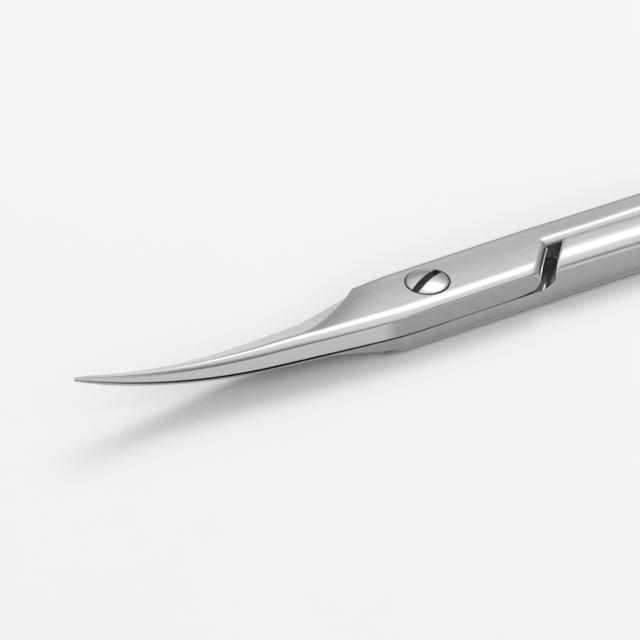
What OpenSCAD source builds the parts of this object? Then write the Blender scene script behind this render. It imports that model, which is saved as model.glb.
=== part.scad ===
// Cuticle scissors: two crossing halves on a slotted pivot screw, closed, lying on their flat side.
// X runs from the blade tips (-X) to the finger rings (+X), Z is up on the screw's side.
// The origin is on the pivot axis, in the flat underside of the lap.

/* [Overall lengths] */
// Distance from the pivot axis to the blade tips
blade_len = 29.6; // [26:0.2:36]
// Distance from the pivot axis to the back of the finger rings
handle_len = 64; // [52:0.5:78]

/* [Lap around the pivot] */
// Half of the width of the closed pair at the lap
lap_half_w = 2.6; // [2.4:0.05:3.2]
// Thickness of the closed pair at the lap
lap_t = 3.8; // [3.1:0.1:4.6]
// Height of the seam between the halves above the underside
seam_z = 1.65; // [1.5:0.05:2]
// Width of the rounded shoulder along the outer edges
shoulder_w = 1.05; // [0.8:0.05:1.1]
// Drop of the rounded shoulder
shoulder_h = 0.6; // [0.4:0.05:0.7]
// Distance from the pivot to where the blades begin to narrow
lap_front = 3.4; // [3:0.1:4]

/* [Blades] */
// Half of the width of the closed blades at the tips
tip_half_w = 0.12; // [0.1:0.01:0.2]
// Thickness of each blade at the tip
tip_t = 0.2; // [0.15:0.01:0.3]
// Height of the blunt land under the ground bevel
edge_land = 0.25; // [0.1:0.05:0.3]
// Distance from the pivot to where the bevel has reached its cutting edge
edge_start = 11.2; // [10.8:0.1:12]
// Distance from the pivot to the front end of the curved grinding shoulder
grind_front = 10.1; // [9.6:0.1:10.6]
// Distance from the pivot to where the grinding shoulder meets the side
grind_side = 5.5; // [5:0.1:6]
// Rise of the blades per millimetre in front of the lap
blade_rise = 0.04; // [0.02:0.01:0.08]
// Distance from the pivot to where the blades start to curve upwards
curve_start = 14; // [12:0.5:18]
// Radius of the upward curve of the blades
curve_r = 44; // [38:1:80]

/* [Gaps] */
// Gap between the halves at the lap, and between the shanks
seam_gap = 0.06; // [0.04:0.01:0.12]
// How much wider the gap is at the middle of the blades, which are set apart there
blade_bow = 0.14; // [0.08:0.01:0.2]
// Gap between the two shanks
shank_gap = 0.16; // [0.1:0.02:0.3]

/* [Notch] */
// Distance from the pivot to the end of each lap, at the middle
notch_x = 10.4; // [9:0.1:11]
// Clear length of the notch behind the end of the lap
notch_len = 1.3; // [1:0.1:2]
// Slant of the notch across the width, in degrees
notch_slant = 40; // [30:1:45]

/* [Shanks] */
// Width of one shank where it meets the finger ring
shank_end_w = 2.5; // [2.3:0.1:3]
// Rounding of the inner edges of the shanks
inner_edge_r = 0.35; // [0.2:0.05:0.5]

/* [Finger rings] */
// Free length of a finger ring
ring_hole_len = 25.6; // [23:0.2:28]
// Free width of a finger ring
ring_hole_w = 17.2; // [16:0.2:18.6]
// Thickness of the round bar of a finger ring
ring_bar_d = 3.2; // [3:0.1:3.4]
// Radius of the bar's centre line around the ends of a finger ring
ring_end_r = 8.5; // [8:0.1:9]
// Gap between the two finger rings when the scissors are closed
ring_gap = 0.4; // [0.3:0.05:0.8]

/* [Pivot screw] */
// Diameter of the screw's shank
screw_d = 2.2; // [1.8:0.1:2.7]
// Diameter of the screw's head
head_d = 3.2; // [3:0.05:3.4]
// Height of the head's straight rim
head_rim_h = 0.95; // [0.6:0.05:1.1]
// Rise of the head's dome over its rim
head_dome_h = 0.3; // [0.2:0.05:0.5]
// Depth of the head's rim below the top of the lap, less than 0 where the head stands proud
head_sink = -0.05; // [-0.1:0.05:0.3]
// Width of the screwdriver slot
slot_w = 0.6; // [0.4:0.05:0.8]
// Depth of the screwdriver slot under the top of the dome
slot_depth = 0.75; // [0.5:0.05:0.85]
// Direction of the slot, in degrees from +X
slot_angle = 25; // [0:1:180]
// Gap around the head in its counterbore
head_gap = 0.12; // [0.08:0.01:0.2]
// Radial running clearance of the screw in its bores
bore_gap = 0.03; // [0.02:0.01:0.06]
// Gap under the head
seat_gap = 0.03; // [0.02:0.01:0.06]
// Depth of the thread grooves
thread_depth = 0.14; // [0.1:0.01:0.2]
// Pitch of the thread
thread_pitch = 0.4; // [0.3:0.05:0.5]

/* [Hidden] */
$fn = 64;

// Reach of the cutting volumes past the part
far_out = 10;
// Exponents of the blades' taper in plan and in thickness, and of the rounded edge's narrowing
taper_power = 1.1;
thin_power = 1.5;
edge_power = 2;
// Share of a blade's thickness that its flat back takes behind the bevel and at the tip
back_share = 0.71;
tip_back_share = 0.69;
// Distance from the pivot to where the top and the underside leave the lap's planes
top_leave = 10;
under_leave = 4;
// Exponent of the bevel's run-out at the side
runout_power = 1.2;
// Share of the thickness at the tip that the blunt land may take
land_share = 0.7;
// Drop of the side under the bevel's run-out
runout_drop = 0.1;
// How far the bevel's foot stays inside the outline, and the bow of the grinding shoulder
foot_in = 0.1;
bow_along = 0.6;
bow_down = 0.35;
// Smallest step between neighbouring points of a section
least = 0.03;
// Overlap of a shank with the slanted wall where it joins its lap
shank_lap = 0.2;
// How far the end of a shank lies inside the round bar, and the flat left between its edges
bar_in = 0.05;
edge_flat = 0.06;
// How fast the shank's outer side comes in
shank_taper = 1.4;
// Width of the flat between the head's rim and its dome
rim_flat = 0.06;

ring_r = ring_bar_d / 2;
ring_half_len = ring_hole_len / 2 + ring_r;
ring_half_w = ring_hole_w / 2 + ring_r;
ring_x = handle_len - ring_half_len - ring_r;
ring_y = ring_gap / 2 + ring_r + ring_half_w;
ring_end_x = ring_half_len - ring_end_r;
ring_side_step = ring_half_w - ring_end_r;
ring_side_y = (ring_end_x * ring_end_x - ring_side_step * ring_side_step) / (2 * ring_side_step);
ring_side_r = ring_half_w + ring_side_y;
ring_side_angle = atan(ring_end_x / ring_side_y);

shank_in = shank_gap / 2;
shank_start = notch_x + notch_len + shank_lap;
rim_z = lap_t - head_sink;
seat_z = rim_z - head_rim_h;
screw_r = screw_d / 2;
head_r = head_d / 2;
dome_edge_r = head_r - rim_flat;
dome_r = (dome_edge_r * dome_edge_r + head_dome_h * head_dome_h) / (2 * head_dome_h);

function clamp(v) = max(0, min(1, v));
function mix(a, b, t) = a + (b - a) * t;
function share(x, from, to) = clamp((x - from) / (to - from));

// Half width of the closed pair at a distance x from the pivot
function half_w(x) =
    lap_half_w - (lap_half_w - tip_half_w) * pow(share(-x, lap_front, blade_len), taper_power);

// Height of the seam at a radius around the pivot axis
function seam(r) =
    seam_z + blade_rise * max(0, r - lap_front) + pow(max(0, r - curve_start), 2) / (2 * curve_r);

// Half of the gap between the blades at a radius around the pivot axis
function half_gap(r) = (seam_gap + blade_bow * sin(180 * clamp(r / blade_len))) / 2;

// Distance of the rounded edge's inner line from the side
function edge_w(x) = shoulder_w * pow(half_w(x) / lap_half_w, edge_power);

// Thickness of a blade over the seam at x, which leaves a lap of thickness t at the distance x0
function blade_t(x, x0, t) = mix(t, tip_t, pow(share(-x, x0, blade_len), thin_power));

// Height over the seam of a half's outer face at x
function outer_h(x, x0, t) =
    -x < x0 ? t - (seam(-x) - seam_z) : blade_t(x, x0, t - (seam(x0) - seam_z));

// Height over the seam of the back's upper edge
function back_h(x, h) =
    let (blade = mix(back_share, tip_back_share, share(-x, grind_front, blade_len)))
    mix(h - shoulder_h, blade * h, share(-x, lap_front, grind_front));

// Height over the seam of the bevel's lower edge at the side
function land_h(x, h) =
    x > -grind_side ? back_h(x, h) - runout_drop * share(-x, lap_front, grind_side)
    : max(min(edge_land, land_share * h),
          (back_h(-grind_side, h) - runout_drop)
          * pow(share(x, -edge_start, -grind_side), runout_power));

// The points of a rounded edge, from the side to the face, as [y, z]
function edge(y, h_side, w, h_face) =
    [for (a = [0, 30, 60, 90]) [y + w * (1 - cos(a)), mix(h_side, h_face, sin(a))]];

// A list of points taken from its end to its start
function reversed(list) = [for (i = [len(list) - 1:-1:0]) list[i]];

// The rounded far edge at x, from the face to the side, where the height over the seam is h
function far_edge(x, h) =
    reversed([for (p = edge(-half_w(x), back_h(x, h), edge_w(x), h)) [-p[0], p[1]]]);

// The ground bevel at x behind the curved grinding shoulder, from the face to the side
function ground_edge(x, h) =
    let (w = half_w(x), e = edge_w(x), side = land_h(x, h),
         y_top = mix(e - w, w - e, share(x, -grind_front, -lap_front)),
         y_foot = mix(e - w, w, share(x, -grind_front, -grind_side)) - foot_in,
         h_foot = mix(h, side, clamp((y_foot + w - e) / (2 * w - e))))
    [[max(y_top, e - w + least), h],
     [max(mix(y_top, y_foot, bow_along), e - w + 2 * least), mix(h, h_foot, bow_down)],
     [max(y_foot, e - w + 3 * least), h_foot],
     [w, side]];

// The bevel at x, from the face to the side, which runs out into the lap's rounded edge
function bevel(x, h) =
    x < -grind_front
    ? let (w = half_w(x), e = edge_w(x))
      [for (t = [0.25, 0.5, 0.75, 1]) [mix(e - w, w, t), mix(h, land_h(x, h), t)]]
    : mix(ground_edge(x, h), far_edge(x, h), share(x, -grind_side, -lap_front));

// A half's outer face at x over the seam, from the back's foot to the bevel's foot
function outer_face(x, side) =
    let (h = side > 0 ? outer_h(x, top_leave, lap_t - seam_z) : outer_h(x, under_leave, seam_z))
    concat(edge(-half_w(x), back_h(x, h), edge_w(x), h), bevel(x, h));

// The section at x of a blade or lap, above the seam (1) or below it (-1)
seam_shares = [1, 0.33, -0.33, -1];
function blade_section(x, side) =
    let (w = half_w(x))
    concat([for (p = outer_face(x, side)) [x, side * p[0], seam(-x) + side * p[1]]],
           [for (t = seam_shares) let (y = t * w, r = norm([x, y]))
               [x, side * y, x < 0 ? seam(r) + side * half_gap(r) : seam_z + side * half_gap(0)]]);

// The section at x of a bar with its own rounding, [width, drop], along its near and its far edges
function bar_section(x, y0, y1, z0, z1, near, far) =
    concat([for (p = edge(y0, z1 - near[1], near[0], z1)) [x, p[0], p[1]]],
           reversed([for (p = edge(-y1, z1 - far[1], far[0], z1)) [x, -p[0], p[1]]]),
           [for (p = edge(-y1, z0 + far[1], far[0], z0)) [x, -p[0], p[1]]],
           reversed([for (p = edge(y0, z0 + near[1], near[0], z0)) [x, p[0], p[1]]]));

// The section at x of one shank, on the far side (1) or the near side (-1)
function shank_section(x, side) =
    let (t = share(x, shank_start, ring_x), s = t * t * (3 - 2 * t),
         r = ring_r - bar_in, tight = r - edge_flat,
         mid = ring_gap / 2 + ring_r,
         y_in = mix(shank_in, mid - r, s),
         y_out = mix(mix(lap_half_w, shank_in + shank_end_w, clamp(t * shank_taper)), mid + r, s),
         low = bar_in * t, top = mix(lap_t, ring_bar_d - bar_in, t),
         inner = [mix(inner_edge_r, tight, s), mix(inner_edge_r, tight, s)],
         outer = [mix(shoulder_w, tight, s), mix(shoulder_h, tight, s)])
    side > 0
    ? bar_section(x, y_in, y_out, low, top, inner, outer)
    : bar_section(x, -y_out, -y_in, low, top, outer, inner);

// A solid skinned over sections that have the same number of points
module loft(sections) {
    n = len(sections[0]);
    last = len(sections) - 1;
    points = [for (s = sections) for (p = s) p];
    sides = [for (i = [0:last - 1]) for (j = [0:n - 1])
        let (a = i * n + j, b = i * n + (j + 1) % n)
        each [[a, b + n, a + n], [a, b, b + n]]];
    caps = [[for (j = [n - 1:-1:0]) j], [for (j = [0:n - 1]) last * n + j]];
    polyhedron(points, concat(sides, caps));
}

// A blade with its lap, above the seam (1) or below it (-1), up to the slanted end of the lap
blade_steps = 22;
shoulder_steps = 8;
module blade(side) {
    stations = concat(
        [for (i = [0:blade_steps - 1]) mix(-blade_len, -grind_front, i / blade_steps)],
        [for (i = [0:shoulder_steps]) mix(-grind_front, -lap_front, i / shoulder_steps)],
        [0, shank_start]);
    difference() {
        loft([for (x = stations) blade_section(x, side)]);
        behind_slant(notch_x, -side);
    }
}

// Everything behind a slanted wall that crosses the middle at x, on one side of the middle
module behind_slant(x, side) {
    wide = lap_half_w + 1;
    near = side * -shank_in;
    lean = tan(notch_slant);
    translate([0, 0, -far_out])
        linear_extrude(blade_len + 2 * far_out)
            polygon([[x + shank_in * lean, near], [x - wide * lean, side * wide],
                     [far_out + handle_len, side * wide], [far_out + handle_len, near]]);
}

// One full-height shank on the far side (1) or the near side (-1), from its slanted shoulder
shank_steps = 12;
module shank(side) {
    stations = concat([notch_x - 3, notch_x + notch_len],
        [for (i = [0:shank_steps]) mix(shank_start, ring_x, i / shank_steps)]);
    intersection() {
        loft([for (x = stations) shank_section(x, side)]);
        behind_slant(notch_x + notch_len, side);
    }
}

// The ring's centre line: points and headings along an arc around a centre, as [x, y, heading]
arc_steps = 12;
function arc_points(cx, cy, r, from, sweep) =
    [for (i = [0:arc_steps - 1]) let (a = from + sweep * i / arc_steps)
        [cx + r * cos(a), cy + r * sin(a), a]];

// The section of the round bar, with flats on its lowest and highest lines, at a point of the ring
bar_sides = 12;
function ring_section(p) =
    [for (i = [0:bar_sides - 1])
        let (a = (i + 0.5) * 360 / bar_sides, r = ring_r / cos(180 / bar_sides), out = r * cos(a))
        [p[0] + out * cos(p[2]), p[1] + out * sin(p[2]), r * sin(a)]];

// An oval finger ring whose centre line is four tangent arcs
module finger_ring() {
    side = ring_side_angle;
    end = 90 - ring_side_angle;
    line = concat(arc_points(0, ring_side_y, ring_side_r, -90 - side, 2 * side),
                  arc_points(ring_end_x, 0, ring_end_r, -end, 2 * end),
                  arc_points(0, -ring_side_y, ring_side_r, 90 - side, 2 * side),
                  arc_points(-ring_end_x, 0, ring_end_r, 180 - end, 2 * end));
    sections = [for (p = line) ring_section(p)];
    n = bar_sides;
    count = len(line);
    faces = [for (i = [0:count - 1]) for (j = [0:n - 1])
        let (k = (i + 1) % count, m = (j + 1) % n)
        each [[i * n + j, k * n + m, k * n + j], [i * n + j, i * n + m, k * n + m]]];
    translate([ring_x, ring_y, ring_r])
        polyhedron([for (s = sections) for (p = s) p], faces);
}

module upper_half() {
    color("silver")
        difference() {
            union() {
                blade(1);
                shank(1);
                finger_ring();
            }
            translate([0, 0, seam_z - 1])
                cylinder(h = lap_t, r = screw_r + bore_gap);
            translate([0, 0, seat_z - seat_gap])
                cylinder(h = lap_t, r = head_r + head_gap);
        }
}

module lower_half() {
    color("silver")
        difference() {
            union() {
                blade(-1);
                shank(-1);
                mirror([0, 1, 0]) finger_ring();
            }
            translate([0, 0, -1])
                cylinder(h = lap_t, r = screw_r + bore_gap);
        }
}

// Half section of the threaded end, from its lower face up to the smooth shank
end_z = 0.1;
thread_top = seam_z - 0.15;
thread_turns = floor((thread_top - end_z) / thread_pitch);
function thread_line() =
    [for (i = [0:thread_turns - 1]) let (z = end_z + i * thread_pitch)
        each [[screw_r - thread_depth, z], [screw_r, z + thread_pitch / 2]]];

module pivot_screw() {
    color("gainsboro")
        difference() {
            union() {
                rotate_extrude()
                    polygon(concat([[0, end_z]], thread_line(),
                        [[screw_r - thread_depth, end_z + thread_turns * thread_pitch],
                         [screw_r, thread_top + 0.1], [screw_r, seat_z],
                         [head_r, seat_z], [head_r, rim_z], [0, rim_z]]));
                intersection() {
                    translate([0, 0, rim_z + head_dome_h - dome_r])
                        sphere(dome_r, $fn = 128);
                    translate([0, 0, rim_z])
                        cylinder(h = head_d, r = head_d);
                }
            }
            rotate([0, 0, slot_angle])
                translate([-head_d, -slot_w / 2, rim_z + head_dome_h - slot_depth])
                    cube([2 * head_d, slot_w, head_d]);
        }
}

upper_half();
lower_half();
pivot_screw();
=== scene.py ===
"""Cuticle scissors: a closed steel pair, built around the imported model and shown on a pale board."""

import logging
import math
from dataclasses import dataclass, field
from enum import Enum
from typing import Callable, Iterator, Sequence

import bmesh
import bpy
from bmesh.types import BMesh
from bpy.types import Material, Node, NodeSocket, NodeTree, Object
from mathutils import Matrix, Vector

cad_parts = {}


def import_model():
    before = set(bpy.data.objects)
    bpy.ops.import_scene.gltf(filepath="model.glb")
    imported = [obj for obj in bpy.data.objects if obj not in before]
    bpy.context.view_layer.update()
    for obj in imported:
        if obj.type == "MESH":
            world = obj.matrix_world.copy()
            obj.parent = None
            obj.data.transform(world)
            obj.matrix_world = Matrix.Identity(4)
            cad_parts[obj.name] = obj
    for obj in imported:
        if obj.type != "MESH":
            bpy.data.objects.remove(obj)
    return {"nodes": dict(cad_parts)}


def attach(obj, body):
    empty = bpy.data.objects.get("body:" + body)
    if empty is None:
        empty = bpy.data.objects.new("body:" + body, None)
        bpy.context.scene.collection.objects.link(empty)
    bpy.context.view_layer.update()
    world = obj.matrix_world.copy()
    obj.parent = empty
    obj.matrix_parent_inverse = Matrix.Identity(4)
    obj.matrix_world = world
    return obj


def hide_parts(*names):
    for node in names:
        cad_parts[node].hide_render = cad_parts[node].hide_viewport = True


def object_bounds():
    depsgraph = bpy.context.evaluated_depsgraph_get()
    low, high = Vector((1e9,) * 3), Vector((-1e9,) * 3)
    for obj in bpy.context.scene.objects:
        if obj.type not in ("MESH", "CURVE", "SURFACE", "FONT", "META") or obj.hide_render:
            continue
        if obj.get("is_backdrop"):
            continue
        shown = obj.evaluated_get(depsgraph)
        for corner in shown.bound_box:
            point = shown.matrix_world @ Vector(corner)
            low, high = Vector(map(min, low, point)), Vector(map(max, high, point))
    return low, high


LOG = logging.getLogger("cuticle_scissors")
MM = 0.001
MICRON = 1e-6
QUARTER = math.pi / 2
Point = tuple[float, float, float]
Run = tuple[float, float]
Color = tuple[float, float, float, float]


class Side(Enum):
    """Which half of the pair a shape belongs to, as the sign of its outer face's height."""

    UPPER = 1
    LOWER = -1


class Combine(Enum):
    """Ways to work one solid into another."""

    CUT = "DIFFERENCE"
    WELD = "UNION"


class Zone(Enum):
    """The surfaces of a half in the order of its section, each with the number of steps that it takes."""

    BACK = ("back", 6)
    BAND = ("band", 9)
    TOP_NEAR = ("near top", 9)
    TOP_FAR = ("far top", 9)
    ROLL = ("roll", 9)
    FACET = ("facet", 5)
    EDGE = ("edge", 6)
    UNDER_BAND = ("under band", 9)
    SEAM_FAR = ("far seam", 8)
    SEAM_NEAR = ("near seam", 8)
    INNER = ("inner", 6)

    @property
    def steps(self) -> int:
        """Number of steps across the surface."""
        return self.value[1]


GROUND = {Zone.FACET: 1.0, Zone.SEAM_FAR: 1.0, Zone.SEAM_NEAR: 1.0, Zone.BACK: 0.7, Zone.EDGE: 1.0}
Section = list[tuple[Zone, Vector]]


def clamp(v: float) -> float:
    """Limits a number to 0..1."""
    return max(0.0, min(1.0, v))


def mix(a: float, b: float, t: float) -> float:
    """Goes from a to b as t goes from 0 to 1."""
    return a + (b - a) * t


def share(v: float, low: float, high: float) -> float:
    """Says how far v has come from low to high, limited to 0..1."""
    return clamp((v - low) / (high - low))


def ease(t: float) -> float:
    """Starts and ends a 0..1 run softly."""
    return t * t * (3 - 2 * t)


def rounding(distance: float, radius: float) -> float:
    """Gives the drop of a quarter-round edge.

    Args:
        distance: How far the point lies inside the edge.
        radius: Radius of the edge.

    Returns:
        The drop below the face, 0 from the radius inwards.
    """
    if distance >= radius:
        return 0.0
    return radius - math.sqrt(max(0.0, radius**2 - (radius - max(0.0, distance)) ** 2))


def partial_arc(t: float, start: float) -> Run:
    """Gives a point of a rounded shoulder that ends in a crease.

    Args:
        t: 0 at the crease, 1 where the shoulder meets the face.
        start: Angle of the ellipse at the crease, in degrees: 0 stands the shoulder upright there.

    Returns:
        Shares of the shoulder's width and of its height.
    """
    low, a = math.radians(start), math.radians(mix(start, 90, t))
    across = (math.cos(low) - math.cos(a)) / math.cos(low)
    up = (math.sin(a) - math.sin(low)) / (1 - math.sin(low))
    return across, up


def spread(low: float, high: float, soft: float, steps: int) -> list[float]:
    """Spreads the steps across a face, most of them within the soft edge beside low.

    Args:
        low: Place of the soft edge.
        high: Place of the other end, on either side of low.
        soft: Width of the soft edge.
        steps: Number of steps.

    Returns:
        The places from low to high.
    """
    plain = 3
    near = steps - plain
    bend = min(soft, 0.6 * abs(high - low)) * (1 if high > low else -1)
    edge = [low + bend * (1 - math.cos(QUARTER * i / near)) for i in range(near)]
    return edge + [mix(low + bend, high, i / plain) for i in range(plain + 1)]


@dataclass(frozen=True)
class Sizes:
    """The pair's sizes in millimetres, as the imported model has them."""

    blade_len: float
    handle_len: float
    lap_half_w: float = 2.6
    lap_t: float = 3.8
    seam_z: float = 1.65
    shoulder_w: float = 1.05
    shoulder_h: float = 0.6
    lap_front: float = 3.4
    tip_half_w: float = 0.12
    tip_t: float = 0.2
    edge_land: float = 0.27
    edge_start: float = 11.2
    blade_rise: float = 0.04
    curve_start: float = 14.0
    curve_r: float = 44.0
    seam_gap: float = 0.06
    blade_bow: float = 0.14
    shank_gap: float = 0.16
    notch_x: float = 10.4
    notch_len: float = 1.3
    notch_slant: float = 40.0
    shank_end_w: float = 2.5
    ring_hole_len: float = 25.6
    ring_hole_w: float = 17.2
    ring_bar_d: float = 3.2
    ring_end_r: float = 8.5
    ring_gap: float = 0.4
    screw_d: float = 2.2
    head_d: float = 3.2
    head_rim_h: float = 0.95
    head_dome_h: float = 0.3
    head_sink: float = -0.05
    slot_w: float = 0.6
    slot_depth: float = 0.75
    slot_angle: float = 25.0
    head_gap: float = 0.12
    bore_gap: float = 0.03
    seat_gap: float = 0.03
    thread_depth: float = 0.14
    thread_pitch: float = 0.4

    @property
    def inner(self) -> float:
        """Distance of a shank's inner wall from the middle."""
        return self.shank_gap / 2

    @property
    def lean(self) -> float:
        """Run of the slanted notch along X for each millimetre across."""
        return math.tan(math.radians(self.notch_slant))

    @property
    def ring_r(self) -> float:
        """Radius of the ring's bar."""
        return self.ring_bar_d / 2

    @property
    def ring_x(self) -> float:
        """Centre of the finger rings along X."""
        return self.handle_len - self.ring_hole_len / 2 - 2 * self.ring_r

    @property
    def ring_y(self) -> float:
        """Distance of a finger ring's centre from the middle."""
        return self.ring_gap / 2 + 2 * self.ring_r + self.ring_hole_w / 2

    @property
    def rim_z(self) -> float:
        """Height of the upper rim of the screw's head."""
        return self.lap_t - self.head_sink


@dataclass(frozen=True)
class Oval:
    """The centre line of a finger ring: four tangent arcs around the origin."""

    half_len: float
    half_w: float
    end_r: float

    @property
    def end_x(self) -> float:
        """Centre of the arc around an end."""
        return self.half_len - self.end_r

    @property
    def side_y(self) -> float:
        """Depth of a side arc's centre on the other side of the middle."""
        step = self.half_w - self.end_r
        return (self.end_x**2 - step**2) / (2 * step)

    @property
    def side_angle(self) -> float:
        """Half of a side arc's sweep, in radians."""
        return math.atan(self.end_x / self.side_y)

    def arcs(self) -> list[tuple[float, ...]]:
        """Works out the four arcs.

        Returns:
            Each arc's centre x and y, radius, first angle and sweep.
        """
        side_r = self.half_w + self.side_y
        side, end = self.side_angle, QUARTER - self.side_angle
        return [
            (0.0, self.side_y, side_r, -QUARTER - side, 2 * side),
            (self.end_x, 0.0, self.end_r, -end, 2 * end),
            (0.0, -self.side_y, side_r, QUARTER - side, 2 * side),
            (-self.end_x, 0.0, self.end_r, math.pi - end, 2 * end),
        ]

    def point(self, t: float) -> Point:
        """Finds a point of the line.

        Args:
            t: Share of the whole length, from 0 to 1.

        Returns:
            The point's x and y and its outward heading in radians.
        """
        arcs = self.arcs()
        left = t * sum(r * sweep for _, _, r, _, sweep in arcs)
        for cx, cy, r, first, sweep in arcs:
            if left <= r * sweep + 1e-9:
                a = first + left / r
                return cx + r * math.cos(a), cy + r * math.sin(a), a
            left -= r * sweep
        return self.point(0.0)

    def distance(self, x: float, y: float) -> float:
        """Measures how far a point of the plane lies from the line.

        Args:
            x: The point's place along the oval.
            y: Its place across.

        Returns:
            The distance, never negative.
        """
        x, y = abs(x), abs(y)
        if math.atan2(x, y + self.side_y) <= self.side_angle:
            return abs(math.hypot(x, y + self.side_y) - self.half_w - self.side_y)
        return abs(math.hypot(x - self.end_x, y) - self.end_r)


def add_object(name: str, data: bpy.types.ID) -> Object:
    """Puts a mesh, a camera or a light into the scene.

    Args:
        name: Name of the new object.
        data: What the object shows.

    Returns:
        The new object at the origin.
    """
    made = bpy.data.objects.new(name, data)
    bpy.context.scene.collection.objects.link(made)
    return made


def add_mesh(bm: BMesh, name: str) -> Object:
    """Puts a mesh into the scene.

    Args:
        bm: The mesh, which is freed.
        name: Name of the new object and its mesh.

    Returns:
        The new object at the origin.
    """
    mesh = bpy.data.meshes.new(name)
    bm.to_mesh(mesh)
    bm.free()
    return add_object(name, mesh)


def lay_sheet(bm: BMesh, rows: Sequence[Sequence[Vector]], marks: dict[str, Callable[[int, int], float]]) -> None:
    """Adds a grid to a mesh and lays it over rows of points.

    Args:
        bm: The mesh that the sheet is added to.
        rows: Rows of points, all of one length.
        marks: Strength of each named mark, by a face's row and column, for the materials to read.
    """
    floats = bm.faces.layers.float
    # The "side" and "line" marks carry painted shade; "ground" marks the ground finish.
    layers = {name: floats.get(name) or floats.new(name) for name in ("ground", "line", "side")}
    across, along = len(rows[0]) - 1, len(rows) - 1
    made = bmesh.ops.create_grid(bm, x_segments=across, y_segments=along, size=1.0)["verts"]
    spot = {v: (round((v.co.y + 1) / 2 * along), round((v.co.x + 1) / 2 * across)) for v in made}
    for face in {f for v in made for f in v.link_faces}:
        row, column = min(spot[v][0] for v in face.verts), min(spot[v][1] for v in face.verts)
        for name, strength in marks.items():
            face[layers[name]] = strength(row, column)
    for v, (i, j) in spot.items():
        v.co = rows[i][j]


def shade(piece: Object, crease: float) -> None:
    """Shades a piece smooth, but leaves the edges sharp that turn by more degrees than the crease."""
    piece.data.shade_smooth()
    piece.data.set_sharp_from_angle(angle=math.radians(crease))


def weight_normals(piece: Object) -> None:
    """Lets large faces lead the normals of the small ones beside them."""
    modifier = piece.modifiers.new("weighted_normals", "WEIGHTED_NORMAL")
    modifier.keep_sharp, modifier.weight = True, 60


def finish_mesh(bm: BMesh, name: str, crease: float = 22.0) -> Object:
    """Closes a mesh modelled in millimetres and makes it a smooth-shaded object in metres.

    Args:
        bm: The mesh, which is freed.
        name: Name of the new object.
        crease: Angle between faces, in degrees, from which an edge stays sharp.

    Returns:
        The new object at the origin.
    """
    bmesh.ops.remove_doubles(bm, verts=bm.verts, dist=2e-4)
    bmesh.ops.dissolve_degenerate(bm, edges=bm.edges, dist=1e-4)
    open_edges = [e for e in bm.edges if e.is_boundary]
    if open_edges:
        bmesh.ops.holes_fill(bm, edges=open_edges, sides=0)
    bmesh.ops.recalc_face_normals(bm, faces=bm.faces)
    bmesh.ops.scale(bm, vec=(MM, MM, MM), verts=bm.verts)
    piece = add_mesh(bm, name)
    shade(piece, crease)
    return piece


def combine(piece: Object, tool: Object, way: Combine, crease: float = 22.0) -> None:
    """Works a tool's shape into a piece and removes the tool.

    Args:
        piece: The piece that is changed.
        tool: The closed shape that is cut out or welded on.
        way: Whether the tool is cut out or welded on.
        crease: Angle between faces, in degrees, from which an edge stays sharp.
    """
    modifier = piece.modifiers.new("combine", "BOOLEAN")
    modifier.operation, modifier.solver, modifier.object = way.value, "EXACT", tool
    evaluated = piece.evaluated_get(bpy.context.evaluated_depsgraph_get())
    carved = bpy.data.meshes.new_from_object(evaluated)
    piece.modifiers.clear()
    old, piece.data = piece.data, carved
    carved.name = piece.name
    bpy.data.meshes.remove(old)
    bpy.data.objects.remove(tool)
    shade(piece, crease)


def round_cutter(name: str, radius: float, low: float, high: float) -> Object:
    """Makes an upright cylinder on the pivot axis to cut with.

    Args:
        name: Name of the cutter.
        radius: Its radius in millimetres.
        low: Height of its lower end.
        high: Height of its upper end.

    Returns:
        The cutter.
    """
    bm = bmesh.new()
    middle = Matrix.Translation((0, 0, (low + high) / 2))
    bmesh.ops.create_cone(
        bm, cap_ends=True, segments=96, radius1=radius, radius2=radius, depth=high - low, matrix=middle
    )
    return finish_mesh(bm, name)


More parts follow.
